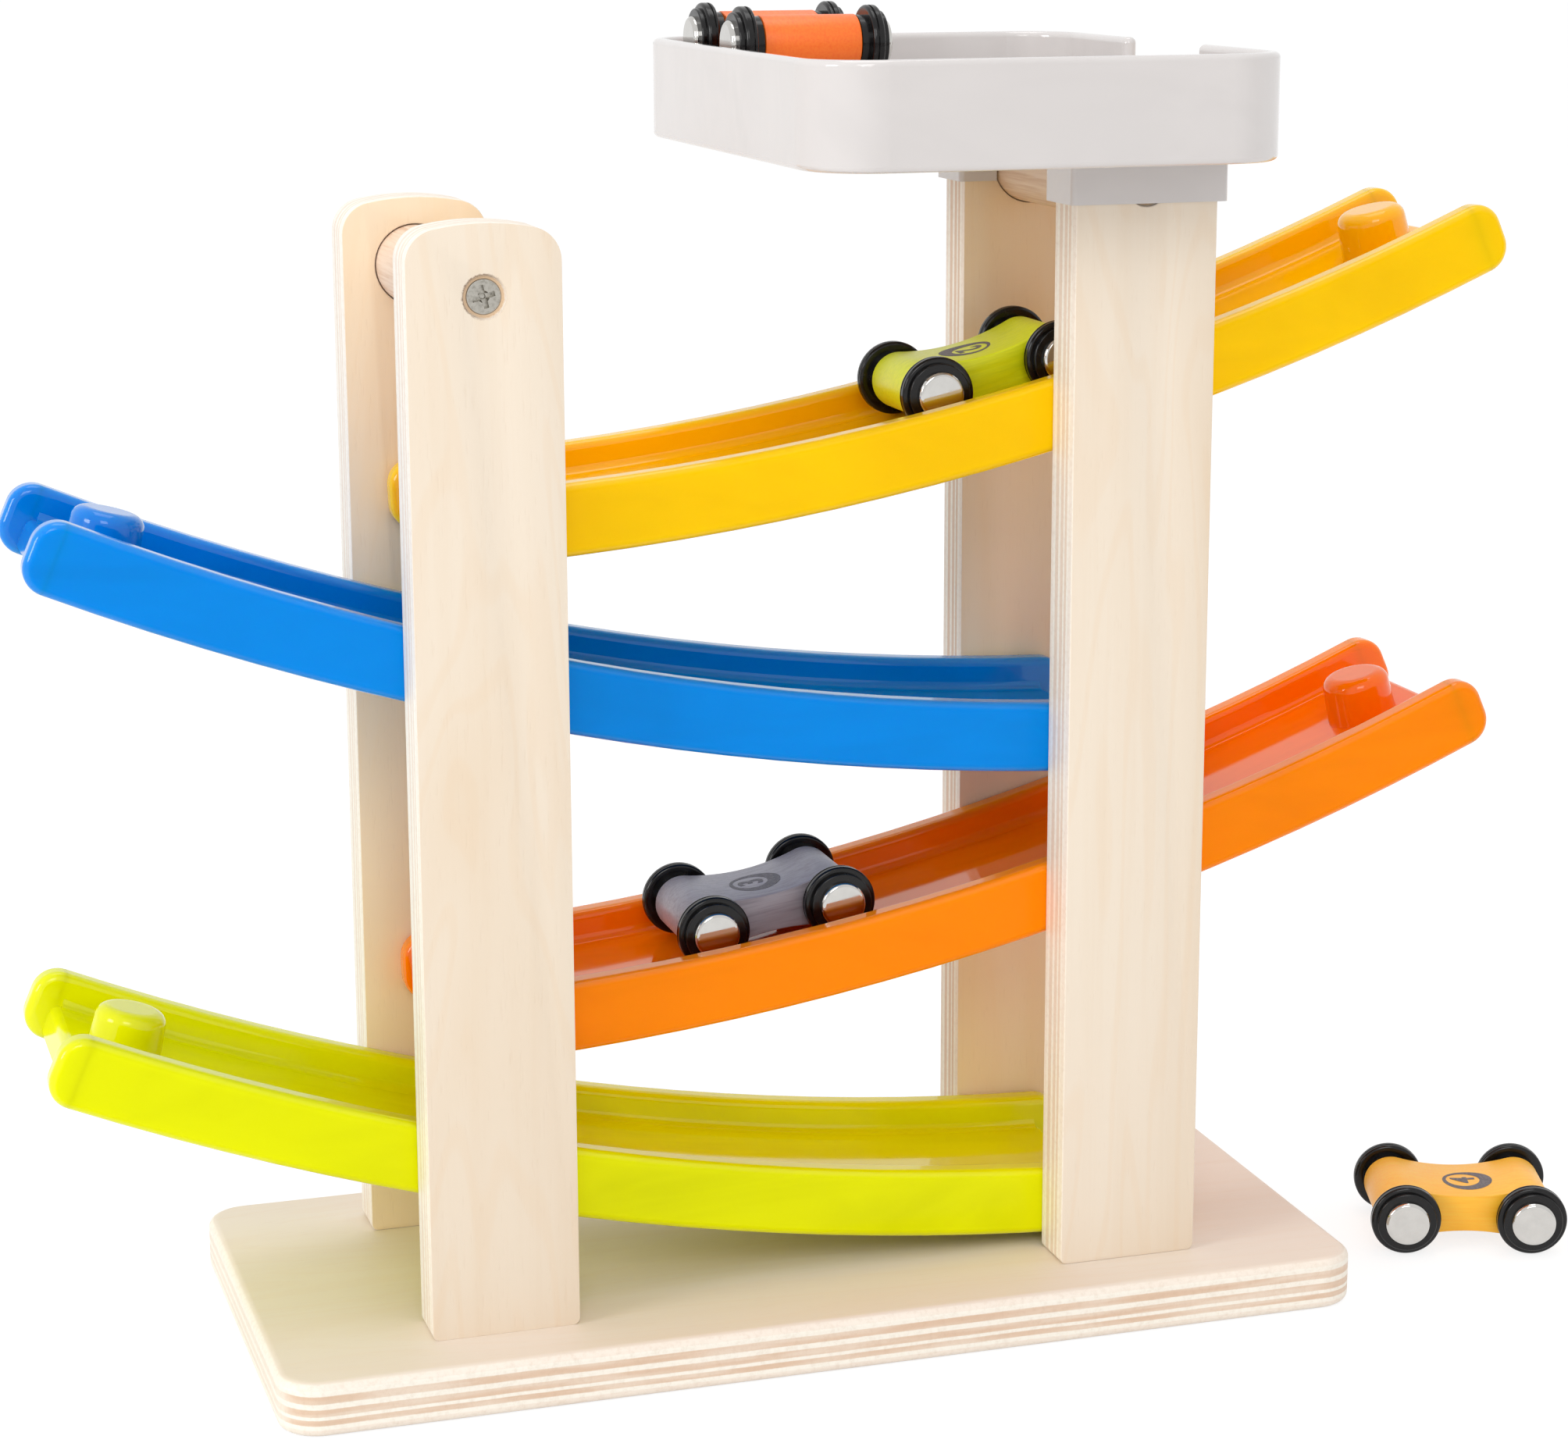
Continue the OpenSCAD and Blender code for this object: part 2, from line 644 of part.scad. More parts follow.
module car_wheels(end) {
  color("dimgray") at_axle(end) for (s = [0, 180]) rotate([s, 0, 0]) rotate_extrude() wheel_section();
}

module car_caps(end) {
  color("whitesmoke") at_axle(end) for (s = [0, 180]) rotate([s, 0, 0]) rotate_extrude() cap_section();
}

// Places of the four cars, each about the middle between its axles
module on_deck() {
  translate([deck_x0 + deck_car_x, deck_w / 2 - deck_car_inset, deck_floor_z + axle_height])
    rotate([0, 0, 90]) children();
}

module on_track(level, angle) {
  wheel_path_r = track_floor_r - axle_height;
  at_level(level) at_arc(sqrt(pow(wheel_path_r, 2) - pow(wheel_base / 2, 2)), angle) children();
}

module on_floor() {
  translate([base_len / 2 + floor_car_x, -floor_car_y, axle_height])
    rotate([0, 0, -floor_car_heading]) children();
}

base_board();
in_front(-post_x) left_post();  // post_front_left
at_rear(-post_x) left_post();  // post_rear_left
in_front(post_x) right_post();  // post_front_right
at_rear(post_x) right_post();  // post_rear_right
spacer_dowel(-post_x, left_dowel_z);  // spacer_dowel_left
spacer_dowel(post_x, right_dowel_z);  // spacer_dowel_right
dowel_screws();
base_screws();
color("gold") at_level(3) track();  // track_yellow
color("dodgerblue") at_level(2) track();  // track_blue
color("darkorange") at_level(1) track();  // track_orange
color("greenyellow") at_level(0) track();  // track_green
parking_deck();
on_deck() car_body("orangered");  // orange_car_body
on_deck() car_axle(1);  // orange_car_front_axle
on_deck() car_wheels(1);  // orange_car_front_wheels
on_deck() car_caps(1);  // orange_car_front_caps
on_deck() car_axle(-1);  // orange_car_rear_axle
on_deck() car_wheels(-1);  // orange_car_rear_wheels
on_deck() car_caps(-1);  // orange_car_rear_caps
on_track(3, upper_car_angle) car_body("yellowgreen");  // green_car_body
on_track(3, upper_car_angle) car_axle(1);  // green_car_front_axle
on_track(3, upper_car_angle) car_wheels(1);  // green_car_front_wheels
on_track(3, upper_car_angle) car_caps(1);  // green_car_front_caps
on_track(3, upper_car_angle) car_axle(-1);  // green_car_rear_axle
on_track(3, upper_car_angle) car_wheels(-1);  // green_car_rear_wheels
on_track(3, upper_car_angle) car_caps(-1);  // green_car_rear_caps
on_track(1, lower_car_angle) car_body("slategray");  // grey_car_body
on_track(1, lower_car_angle) car_axle(1);  // grey_car_front_axle
on_track(1, lower_car_angle) car_wheels(1);  // grey_car_front_wheels
on_track(1, lower_car_angle) car_caps(1);  // grey_car_front_caps
on_track(1, lower_car_angle) car_axle(-1);  // grey_car_rear_axle
on_track(1, lower_car_angle) car_wheels(-1);  // grey_car_rear_wheels
on_track(1, lower_car_angle) car_caps(-1);  // grey_car_rear_caps
on_floor() car_body("orange");  // amber_car_body
on_floor() car_axle(1);  // amber_car_front_axle
on_floor() car_wheels(1);  // amber_car_front_wheels
on_floor() car_caps(1);  // amber_car_front_caps
on_floor() car_axle(-1);  // amber_car_rear_axle
on_floor() car_wheels(-1);  // amber_car_rear_wheels
on_floor() car_caps(-1);  // amber_car_rear_caps
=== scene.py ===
import math

import bmesh
import bpy
from mathutils import Matrix, Vector


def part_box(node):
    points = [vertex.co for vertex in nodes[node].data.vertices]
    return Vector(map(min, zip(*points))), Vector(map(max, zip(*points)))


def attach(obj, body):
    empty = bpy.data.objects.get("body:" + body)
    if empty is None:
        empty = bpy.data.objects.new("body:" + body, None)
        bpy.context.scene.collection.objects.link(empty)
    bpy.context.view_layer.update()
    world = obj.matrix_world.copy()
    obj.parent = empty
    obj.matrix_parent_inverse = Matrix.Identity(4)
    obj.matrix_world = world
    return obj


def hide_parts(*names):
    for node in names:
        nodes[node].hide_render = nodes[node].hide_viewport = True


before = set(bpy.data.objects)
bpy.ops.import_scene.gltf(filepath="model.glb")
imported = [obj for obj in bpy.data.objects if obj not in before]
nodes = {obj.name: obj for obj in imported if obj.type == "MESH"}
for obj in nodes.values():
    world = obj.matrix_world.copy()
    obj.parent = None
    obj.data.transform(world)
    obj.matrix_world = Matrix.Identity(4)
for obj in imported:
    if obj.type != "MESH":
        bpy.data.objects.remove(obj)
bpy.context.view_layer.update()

mm = 0.001
print("frame loaded:", len(nodes), "parts")


def addObject(name, data):
    made = bpy.data.objects.new(name, data)
    bpy.context.scene.collection.objects.link(made)
    return made


# the camera stands left of the toy and looks down on it a little
camera = {
    "place": (-0.22722, -0.73989, 0.31085),
    # in degrees: to the right, downwards, and about the line of sight
    "turn": 17.31,
    "tilt": 13.02,
    "roll": -0.19,
    "lens": 82.24,
    "sensor": 36,
    "nearest": 0.02,
    "farthest": 20,
}

cameraData = bpy.data.cameras.new("camera")
cameraData.sensor_width = camera["sensor"]
cameraData.lens = camera["lens"]
cameraData.clip_start = camera["nearest"]
cameraData.clip_end = camera["farthest"]
cameraObject = addObject("camera", cameraData)
cameraObject.matrix_world = (
    Matrix.Translation(camera["place"])
    @ Matrix.Rotation(math.radians(-camera["turn"]), 4, "Z")
    @ Matrix.Rotation(math.radians(90 - camera["tilt"]), 4, "X")
    @ Matrix.Rotation(math.radians(camera["roll"]), 4, "Z")
)
bpy.context.scene.camera = cameraObject
bpy.context.scene.view_settings.view_transform = "Standard"
print("camera ready")


# a socket that can stand in sums, so that shader maths reads as a formula
class Wire:
    def __init__(self, recipe, socket):
        self.recipe = recipe
        self.socket = socket

    def __add__(self, other):
        return self.recipe.sum("ADD", self, other)

    def __radd__(self, other):
        return self.recipe.sum("ADD", other, self)

    def __sub__(self, other):
        return self.recipe.sum("SUBTRACT", self, other)

    def __rsub__(self, other):
        return self.recipe.sum("SUBTRACT", other, self)

    def __mul__(self, other):
        return self.recipe.sum("MULTIPLY", self, other)

    def __rmul__(self, other):
        return self.recipe.sum("MULTIPLY", other, self)

    def __truediv__(self, other):
        return self.recipe.sum("DIVIDE", self, other)

    def __rtruediv__(self, other):
        return self.recipe.sum("DIVIDE", other, self)

    def __pow__(self, other):
        return self.recipe.sum("POWER", self, other)

    def __rpow__(self, other):
        return self.recipe.sum("POWER", other, self)


# a tree of shader nodes, and the few ways that its nodes are made
class Recipe:
    def __init__(self, tree):
        self.tree = tree

    # any node: its type, its settings, the values or links of its sockets, and the output wanted
    def node(self, kind, settings=None, sockets=None, output=0):
        made = self.tree.nodes.new("ShaderNode" + kind)
        for name, value in (settings or {}).items():
            if name == "stops":
                while len(made.color_ramp.elements) < len(value):
                    made.color_ramp.elements.new(1.0)
                for stop, (place, colour) in zip(made.color_ramp.elements, value):
                    stop.position = place
                    stop.color = (*colour, 1.0)
            else:
                setattr(made, name, value)
        for name, value in (sockets or {}).items():
            if isinstance(value, Wire):
                self.tree.links.new(value.socket, made.inputs[name])
            elif value is not None:
                made.inputs[name].default_value = value
        return Wire(self, made.outputs[output])

    def link(self, wire, nodeName, socket):
        self.tree.links.new(wire.socket, self.tree.nodes[nodeName].inputs[socket])

    def sum(self, operation, a, b=None):
        return self.node("Math", {"operation": operation}, {0: a, 1: b})

    # X, Y or Z of the Object coordinates or of the Normal
    def part(self, source, axis):
        return self.node("SeparateXYZ", {}, {0: self.node("TexCoord", output=source)}, axis)

    # noise over the Object coordinates or the vector given, finer where its scale is larger
    def noise(self, scale, detail, rough=0.55, warp=0.0, shift=(0, 0, 0), vector=None):
        place = self.node("Mapping", {}, {"Vector": vector or self.node("TexCoord", output="Object"),
                                          "Location": shift,
                                          "Scale": scale if isinstance(scale, tuple) else (scale,) * 3})
        return self.node("TexNoise", {}, {"Vector": place, "Scale": 1.0, "Detail": detail,
                                          "Roughness": rough, "Distortion": warp})

    # a smooth change from one value to another, where the input goes from low to high
    def spread(self, value, low, high, atLow=0.0, atHigh=1.0):
        return self.node("MapRange", {"interpolation_type": "SMOOTHSTEP"},
                         {"Value": value, "From Min": low, "From Max": high,
                          "To Min": atLow, "To Max": atHigh})

    # the Mix node's colour sockets are 6 and 7, and its colour output is 2
    def blend(self, share, a, b, kind="MIX"):
        a, b = [(*c, 1.0) if isinstance(c, tuple) else c for c in (a, b)]
        return self.node("Mix", {"data_type": "RGBA", "blend_type": kind}, {0: share, 6: a, 7: b}, 2)


# one material with its main shader
class Finish(Recipe):
    def __init__(self, name, **constants):
        self.material = bpy.data.materials.new(name)
        self.material.use_nodes = True
        super().__init__(self.material.node_tree)
        self.shader = self.tree.nodes["Principled BSDF"]
        for socket, value in constants.items():
            self.shader.inputs[socket.replace("_", " ")].default_value = value

    def feed(self, **sockets):
        for socket, wire in sockets.items():
            self.link(wire, self.shader.name, socket.replace("_", " "))

    def bump(self, height, strength, distance):
        self.feed(Normal=self.node("Bump", {}, {"Height": height, "Strength": strength,
                                                "Distance": distance}))


# screen colours from 0 to 255, taken through the screen's curve to the linear values of shaders
def linear(*screen):
    return tuple((v / 255 / 12.92) if v < 11 else ((v / 255 + 0.055) / 1.055) ** 2.4 for v in screen)


def paint(nodeName, finish):
    materials = nodes[nodeName].data.materials
    materials.clear()
    materials.append(finish.material)


# a finish of two tones that change over in fine noise, which may also give roughness and relief
def makeMottled(name, look):
    finish = Finish(name, **look["shader"])
    mottle = finish.noise(*look["noise"])
    finish.feed(Base_Color=finish.blend(finish.spread(mottle, *look["toneRange"]), *look["tones"]))
    if "roughRange" in look:
        finish.feed(Roughness=finish.spread(mottle, *look["roughRange"]))
    if "bump" in look:
        finish.bump(mottle, *look["bump"])
    return finish


# plywood: a sliced face with long grain, plies on the edges, and screw pockets with a burnt rim that
# carries painted shade on its upper left
plywood = {
    "thickness": 12 * mm,
    "rough": 0.5,
    # the sliced face, and the tints that a whole board can take
    "pale": linear(233, 220, 203),
    "face": linear(230, 214, 194),
    "warm": linear(221, 197, 168),
    "vein": linear(226, 192, 152),
    "pore": linear(198, 164, 126),
    "honey": linear(254, 228, 188),
    "blush": linear(239, 227, 216),
    # each noise: its scale, across the grain and along it, then its detail, roughness and warp
    "cloud": ((30.0, 3.6), 2, 0.5, 1.2),
    "grain": ((240.0, 7.0), 5, 0.6, 0.4),
    "pores": ((2600.0, 170.0), 2, 0.6),
    # where in its noise a mark starts and is full, and its strength at both where that isn't 0 and 1
    "faceMark": (0.35, 0.7),
    "warmMark": (0.55, 0.8, 0.0, 0.5),
    "grainMark": (0.42, 0.72, 0.0, 0.16),
    "veinMark": (0.3, 1.0, 0.0, 0.13),
    "poreMark": (0.6, 0.76),
    "tintMark": (0.3, 0.8),
    "veinCount": 70.0,
    "tintLeast": 0.75,
    "poreShare": 0.1,
    # the edges: each ply's share of the thickness and its tone, from the underside or the front
    "plies": (
        (0.16, "veneer"), (0.08, "pale"), (0.1, "tan"), (0.065, "pale"), (0.13, "tan"), (0.1, "pale"),
        (0.14, "tan"), (0.095, "pale"), (0.13, "veneer"),
    ),
    "tones": {"veneer": linear(243, 230, 216), "pale": linear(248, 242, 230), "tan": linear(222, 192, 166)},
    "plyBlur": 0.008,
    # noises that bend the plies and roughen their borders, and by what share of the thickness
    "waver": (45, 2),
    "waverShare": 0.035,
    "fray": (1300, 3, 0.7),
    "frayShare": 0.012,
    # patches in which the plies show more, and the darker fibres of their end grain
    "patch": ((34, 34, 420), 2, 0.6),
    "patchMark": (0.34, 0.66, 0.45, 1.0),
    "fibre": (900, 4, 0.7),
    "fibreTone": linear(196, 164, 132),
    "fibreMark": (0.4, 0.8, 0.0, 0.25),
    # how far the surface has turned to a long edge or to a face
    "edgeTurn": (0.3, 0.8),
    "faceTurn": (0.75, 0.92),
    # relief
    "grainHeight": 0.5,
    "poreDepth": 0.5,
    "fibreHeight": 0.8,
    "bump": (0.12, 0.4 * mm),
}


# less contrast brings all plies nearer to the pale one
def plyStops(contrast):
    stops = []
    place = 0.0
    blur = plywood["plyBlur"]
    pale = plywood["tones"]["pale"]
    for width, tone in plywood["plies"]:
        colour = tuple(p + (t - p) * contrast for p, t in zip(pale, plywood["tones"][tone]))
        stops.append((place + blur if place else 0.0, colour))
        place += width
        stops.append((min(place - blur, 1.0), colour))
    return stops


# through is the axis on which the plies are stacked, from start, and along the one that the grain follows;
# contrast is for the long edges and for the ends; seed moves the patterns, so that no two boards are alike
def makePlywood(name, through, along, start, seed, contrast, tint, share):
    finish = Finish(name, Roughness=plywood["rough"])

    def noise(kind, *shift):
        scale, *shape = plywood[kind]
        if isinstance(scale, tuple) and len(scale) == 2:
            scale = tuple(scale[1] if axis == along else scale[0] for axis in "XYZ")
        return finish.noise(scale, *shape, shift=shift)

    grain = noise("grain", seed, 0.3 * seed, 0.7 * seed)
    cloud = noise("cloud", 0.4 * seed, seed, 0.1)
    pore = finish.spread(noise("pores", 0.2, seed, seed), *plywood["poreMark"])
    face = finish.blend(finish.spread(cloud, *plywood["faceMark"]), plywood["pale"], plywood["face"])
    face = finish.blend(finish.spread(cloud, *plywood["warmMark"]), face, plywood["warm"])
    face = finish.blend(finish.spread(grain, *plywood["grainMark"]), face, plywood["warm"])
    # the contour lines that peeled veneer shows
    contours = finish.sum("SINE", cloud * plywood["veinCount"])
    face = finish.blend(finish.spread(contours, *plywood["veinMark"]), face, plywood["vein"])
    tinted = finish.spread(cloud, *plywood["tintMark"], share * plywood["tintLeast"], share)
    face = finish.blend(tinted, face, plywood[tint])
    face = finish.blend(pore * plywood["poreShare"], face, plywood["pore"])

    waver = (noise("waver", seed, 0, 0) - 0.5) * plywood["waverShare"]
    fray = (noise("fray", 0, 0, 0) - 0.5) * plywood["frayShare"]
    depth = (finish.part("Object", through) - start) / plywood["thickness"] + waver + fray
    strong, weak = [finish.node("ValToRGB", {"stops": plyStops(c)}, {0: depth}) for c in contrast]
    # the strong plies show on the long edges, in patches
    edgeAxis = next(axis for axis in "XYZ" if axis not in (through, along))
    onEdge = finish.spread(finish.sum("ABSOLUTE", finish.part("Normal", edgeAxis)), *plywood["edgeTurn"])
    patch = finish.spread(noise("patch", seed, 0.5, 0), *plywood["patchMark"])
    edge = finish.blend(onEdge * patch, weak, strong)
    fibre = noise("fibre", 0, 0, 0)
    edge = finish.blend(finish.spread(fibre, *plywood["fibreMark"]), edge, plywood["fibreTone"])

    onFace = finish.spread(finish.sum("ABSOLUTE", finish.part("Normal", through)), *plywood["faceTurn"])
    relief = (grain * plywood["grainHeight"] - pore * plywood["poreDepth"]
              + (1 - onFace) * fibre * plywood["fibreHeight"])
    finish.bump(relief, *plywood["bump"])
    return finish, finish.blend(onFace, edge, face)


# dark ring round each screw pocket in the posts: burnt wood, faint all round, and painted shade on its
# upper left where the pocket's wall lies in shadow
pockets = {
    "scorchAndShade": linear(112, 76, 40),
    "wall": linear(206, 170, 128),
    "postX": 71.3 * mm,
    "radius": 4.4 * mm,
    "fray": (1500, 3, 0.7),
    "frayShare": 0.2,
    # distances from the screw's axis, in pocket radii
    "wallRange": (0.92, 1.0, 1.0, 0.0),
    "rimInside": (0.94, 1.0),
    "rimOutside": (1.0, 1.1, 1.0, 0.0),
    # the rim is darker on its upper left: painted shade of the pocket's wall
    "shadeSide": (-0.004, 0.004, 1.0, 0.12),
    "shadeSlope": 0.6,
    "wallShare": 0.8,
    "rimShare": 0.85,
}


def scorchAndShadePockets(finish, colour, screwZ):
    x = finish.part("Object", "X")
    across = x - finish.sum("SIGN", x) * pockets["postX"]
    rise = finish.part("Object", "Z") - screwZ
    fray = (finish.noise(*pockets["fray"]) - 0.5) * pockets["frayShare"]
    away = finish.sum("SQRT", across ** 2 + rise ** 2) / pockets["radius"] + fray
    wall = finish.spread(away, *pockets["wallRange"])
    rim = finish.spread(away, *pockets["rimInside"]) * finish.spread(away, *pockets["rimOutside"])
    # painted shade: the rim's dark tone falls mostly on the upper left
    shadedSide = finish.spread(across - rise * pockets["shadeSlope"], *pockets["shadeSide"])
    colour = finish.blend(wall * pockets["wallShare"], colour, pockets["wall"])
    return finish.blend(rim * shadedSide * pockets["rimShare"], colour, pockets["scorchAndShade"])


# the edges that are eased on a copy of a CAD node, which then stands for the node
easing = {
    "posts": 0.7 * mm,
    "cars": 0.45 * mm,
    "segments": 3,
    "sharp": math.radians(35),
    "flat": math.radians(0.6),
    "merge": 0.002 * mm,
}


def easeEdges(nodeName, body, width, finish):
    mesh = nodes[nodeName].data.copy()
    form = bmesh.new()
    form.from_mesh(mesh)
    bmesh.ops.remove_doubles(form, verts=form.verts, dist=easing["merge"])
    bmesh.ops.dissolve_limit(form, angle_limit=easing["flat"], verts=form.verts, edges=form.edges)
    sharp = [e for e in form.edges if e.is_manifold and e.calc_face_angle(0) > easing["sharp"]]
    bmesh.ops.bevel(form, geom=sharp, offset=width, offset_type="OFFSET", affect="EDGES",
                    segments=easing["segments"], profile=0.5, material=-1, clamp_overlap=True)
    for face in form.faces:
        face.smooth = True
    form.to_mesh(mesh)
    form.free()
    piece = addObject(nodeName + "_eased", mesh)
    mesh.materials.clear()
    mesh.materials.append(finish.material)
    mesh.set_sharp_from_angle(angle=easing["sharp"])
    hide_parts(nodeName)
    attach(piece, body)


# each post: where its plies start, seed, height of its pocket, contrast of its plies and share of honey
posts = {
    "post_front_left": (-39.9 * mm, 1.3, 232.6 * mm, 0.45, 0.12),
    "post_rear_left": (27.9 * mm, 4.1, 232.6 * mm, 0.45, 0.8),
    "post_front_right": (-39.9 * mm, 7.7, 250.9 * mm, 0.6, 0.1),
    "post_rear_right": (27.9 * mm, 9.2, 250.9 * mm, 0.9, 0.6),
}
baseBoard = {"seed": 2.4, "contrast": (1.0, 0.3), "blush": 0.6}

for nodeName, (start, seed, screwZ, contrast, honey) in posts.items():
    finish, colour = makePlywood(nodeName + "_plywood", "Y", "Z", start, seed, (contrast, contrast),
                                 "honey", honey)
    finish.feed(Base_Color=scorchAndShadePockets(finish, colour, screwZ))
    easeEdges(nodeName, "tower", easing["posts"], finish)
finish, colour = makePlywood("base_plywood", "Z", "X", 0.0, baseBoard["seed"], baseBoard["contrast"],
                             "blush", baseBoard["blush"])
finish.feed(Base_Color=colour)
paint("base_board", finish)
print("plywood ready")


# spacer dowels: pale turned wood with a fine straight grain
dowels = {
    "shader": {"Roughness": 0.6},
    "tones": (linear(236, 212, 190), linear(214, 180, 152)),
    "noise": ((900, 30, 900), 4, 0.6, 0.3),
    "toneRange": (0.35, 0.75),
    "bump": (0.15, 0.3 * mm),
}

dowelWood = makeMottled("dowel_wood", dowels)
for nodeName in ("spacer_dowel_left", "spacer_dowel_right"):
    paint(nodeName, dowelWood)


# screws and axles: satin zinc, a little dull in places
metal = {
    "shader": {"Metallic": 1.0},
    "tones": (linear(184, 180, 171), linear(156, 152, 143)),
    "noise": (1500, 3, 0.6),
    "toneRange": (0.4, 0.75),
    "roughRange": (0.3, 0.8, 0.28, 0.5),
}

zinc = makeMottled("satin_zinc", metal)
for nodeName in nodes:
    if nodeName.endswith(("_screws", "_axle")):
        paint(nodeName, zinc)
print("wood and metal ready")


# glossy mouldings: a clear colour with faint flow marks and a soft waviness in the gloss
plastics = {
    # outside, and the deeper hue inside the channel, which is painted shade for the light that bounces
    # between the channel's walls
    "yellow": (linear(255, 203, 0), linear(255, 184, 0)),
    "blue": (linear(0, 136, 226), linear(0, 124, 214)),
    "orange": (linear(255, 137, 0), linear(255, 114, 0)),
    "green": (linear(230, 233, 0), linear(233, 234, 0)),
    "deck": (linear(212, 207, 205),),
    # the two kinds: gloss, share of the light that enters, roughness, brightness of the flow marks
    "track": {"gloss": 0.09, "depthShare": 0.3, "rough": 0.1, "flow": 0.904},
    "tray": {"gloss": 0.42, "depthShare": 0.0, "rough": 0.09, "flow": 0.952},
    # how far light gets inside, and the least share of that for a colour that is absorbed
    "depthReach": 5 * mm,
    "depthLeast": 0.15,
    "channelHalf": 21.5 * mm,
    "channelBlur": 1.5 * mm,
    "channelUp": (-0.5, -0.2),
    # a clear coat, which a surface that faces along Y has only inside a channel
    "polish": 0.6,
    "polishRough": 0.05,
    "sideTurn": (0.85, 0.98, 1.0, 0.0),
    "flow": ((14, 60, 40), 3, 0.6, 0.8),
    "flowMark": (0.35, 0.75),
    "smear": (90, 3, 0.6),
    "smearMark": (0.35, 0.8),
    # how smooth and how rough the smears are, as shares of the kind's roughness
    "smearRough": (0.8, 1.5),
    "ripple": (120, 2, 0.5),
    "bump": (0.05, 0.5 * mm),
}


def makePlastic(name, colours, kind):
    least = plastics["depthLeast"]
    finish = Finish(name, Specular_IOR_Level=kind["gloss"], Coat_Roughness=plastics["polishRough"],
                    Subsurface_Weight=kind["depthShare"], Subsurface_Scale=plastics["depthReach"],
                    Subsurface_Radius=tuple(least + (1 - least) * v for v in colours[0]))
    flow = finish.spread(finish.noise(*plastics["flow"]), *plastics["flowMark"])
    polish = finish.spread(finish.sum("ABSOLUTE", finish.part("Normal", "Y")), *plastics["sideTurn"])
    body = colours[0]
    if len(colours) > 1:
        across = finish.sum("ABSOLUTE", finish.part("Object", "Y"))
        wall = plastics["channelHalf"]
        channelShadeAndCoat = finish.spread(across, wall, wall + plastics["channelBlur"], 1.0, 0.0)
        channelShadeAndCoat = channelShadeAndCoat * finish.spread(finish.part("Normal", "Z"), *plastics["channelUp"])
        polish = channelShadeAndCoat + (1 - channelShadeAndCoat) * polish
        # painted shade: the inside of the channel, apart from faces that look down, takes the deeper hue
        body = finish.blend(channelShadeAndCoat, *colours)
    marked = finish.blend(1.0, body, (kind["flow"],) * 3, "MULTIPLY")
    smooth, rough = [kind["rough"] * share for share in plastics["smearRough"]]
    finish.feed(Base_Color=finish.blend(flow, body, marked), Coat_Weight=polish * plastics["polish"],
                Roughness=finish.spread(finish.noise(*plastics["smear"]), *plastics["smearMark"],
                                        smooth, rough))
    finish.bump(finish.noise(*plastics["ripple"]), *plastics["bump"])
    return finish


for colourName in ("yellow", "blue", "orange", "green"):
    plastic = makePlastic(colourName + "_plastic", plastics[colourName], plastics["track"])
    paint("track_" + colourName, plastic)
paint("parking_deck", makePlastic("deck_plastic", plastics["deck"], plastics["tray"]))
print("mouldings ready")


# cars: stained bodies with a printed ring and number, black wheels and polished caps
cars = {
    # facing tells which way the print reads, and slip how far along the car it sits
    "orange": {"colour": linear(255, 120, 24), "grain": linear(252, 104, 14),
               "number": "1", "facing": 1, "slip": 0},
    "green": {"colour": linear(232, 240, 2), "grain": linear(216, 228, 0),
              "number": "2", "facing": -1, "slip": 0.4 * mm},
    "grey": {"colour": linear(157, 150, 158), "grain": linear(131, 123, 131),
             "number": "3", "facing": 1, "slip": -1 * mm},
    "amber": {"colour": linear(255, 192, 50), "grain": linear(255, 178, 26),
              "number": "4", "facing": 1, "slip": 0.8 * mm},
}


# a car's own axes: forwards, to its left and up, from the middle between its axles
def carPlace(car):
    lowF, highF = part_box(f"{car}_car_front_axle")
    lowR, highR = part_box(f"{car}_car_rear_axle")
    front = (Vector(lowF) + Vector(highF)) / 2
    rear = (Vector(lowR) + Vector(highR)) / 2
    heading = (front - rear).normalized()
    side = Vector((0, 0, 1)).cross(heading).normalized()
    up = heading.cross(side)
    turn = Matrix((heading, side, up)).transposed().to_4x4()
    return Matrix.Translation((front + rear) / 2) @ turn


# the stain lies unevenly along the grain, and specks make it rougher
carStain = {
    "coat": 0.2,
    "coatRough": 0.3,
    "grain": ((70, 1500, 1500), 4, 0.65, 0.3),
    "grainMark": (0.35, 0.75),
    "speck": (2200, 2, 0.5),
    "roughRange": (0.3, 0.8, 0.36, 0.52),
    "bump": (0.12, 0.15 * mm),
}


# coordinates are turned to the car before they are stretched, so that its grain runs from end to end
def makeCarPaint(name, colour, grainColour, place):
    finish = Finish(name, Coat_Weight=carStain["coat"], Coat_Roughness=carStain["coatRough"])
    turned = finish.node("Mapping", {}, {"Vector": finish.node("TexCoord", output="Object"),
                                         "Rotation": tuple(place.to_3x3().inverted().to_euler())})
    grain = finish.noise(*carStain["grain"], vector=turned)
    finish.feed(Base_Color=finish.blend(finish.spread(grain, *carStain["grainMark"]), colour, grainColour),
                Roughness=finish.spread(finish.noise(*carStain["speck"]), *carStain["roughRange"]))
    finish.bump(grain, *carStain["bump"])
    return finish


carPrint = {
    "outerRadius": 5.8 * mm,
    "innerRadius": 3.95 * mm,
    # the ring is thick on one side: its outer circle lies off the centre of the inner one
    "outerShift": (0.95 * mm, -0.6 * mm, 0),
    "ringSteps": 72,
    "digitSize": 7.83 * mm,
    "digitBolder": 0.18 * mm,
    "lift": 0.06 * mm,
    # the hollow top of the car: its lowest point above the axles, and its radius
    "waist": 4.25 * mm,
    "waistRadius": 49.8 * mm,
    "merge": 0.001 * mm,
    # a slanting direction, along which no two faces of the ring lie equally far
    "sortAlong": Vector((1.0, 1.7, 3.1)),
}


